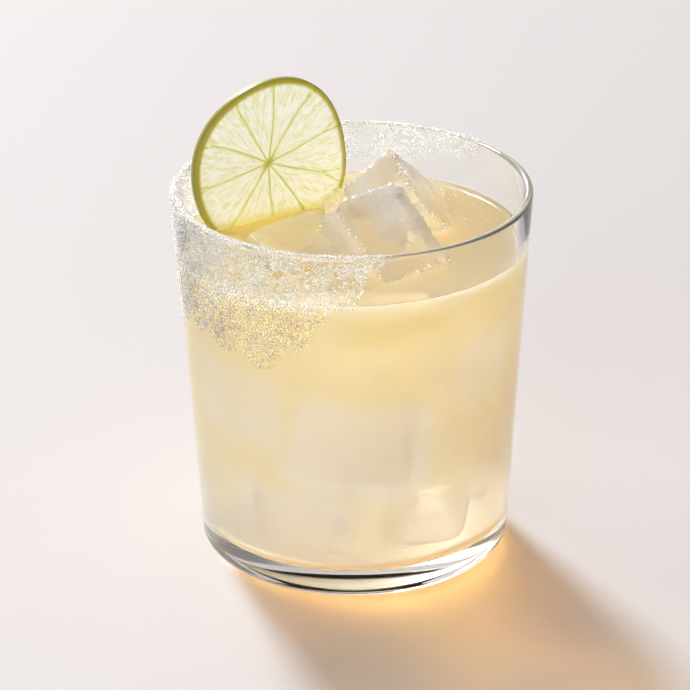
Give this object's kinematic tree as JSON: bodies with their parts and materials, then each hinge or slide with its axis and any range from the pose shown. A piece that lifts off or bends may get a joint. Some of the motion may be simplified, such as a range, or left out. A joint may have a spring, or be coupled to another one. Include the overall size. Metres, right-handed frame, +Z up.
{
  "type": "margarita cocktail",
  "caption": "Cloudy pale margarita in a tapered tumbler with a salted rim, ice breaking the surface and a lime wheel stood inside the glass.",
  "frame": {"origin": "centre of the foot of the glass, on the surface it stands on", "axes": "+Z up along the axis of the glass, +Y away from the drinker, +X to the drinker's right, salted half of the rim at -X"},
  "size_m": [0.0887, 0.0896, 0.115],
  "materials": {
    "glass": "clear pressed soda-lime glass, fire-polished",
    "drink": "cloudy pale yellow lime and tequila drink",
    "ice": "wet, melted, partly clear ice",
    "lime": "wet cut lime flesh with a green rind",
    "salt": "coarse white salt crystals"
  },
  "bodies": {
    "root": {"glass": "glass", "drink": "drink", "ice_front": "ice", "ice_back": "ice", "ice_left": "ice", "ice_middle": "ice", "lime_wheel": "lime", "salt_crust": "salt"}
  },
  "joints": []
}
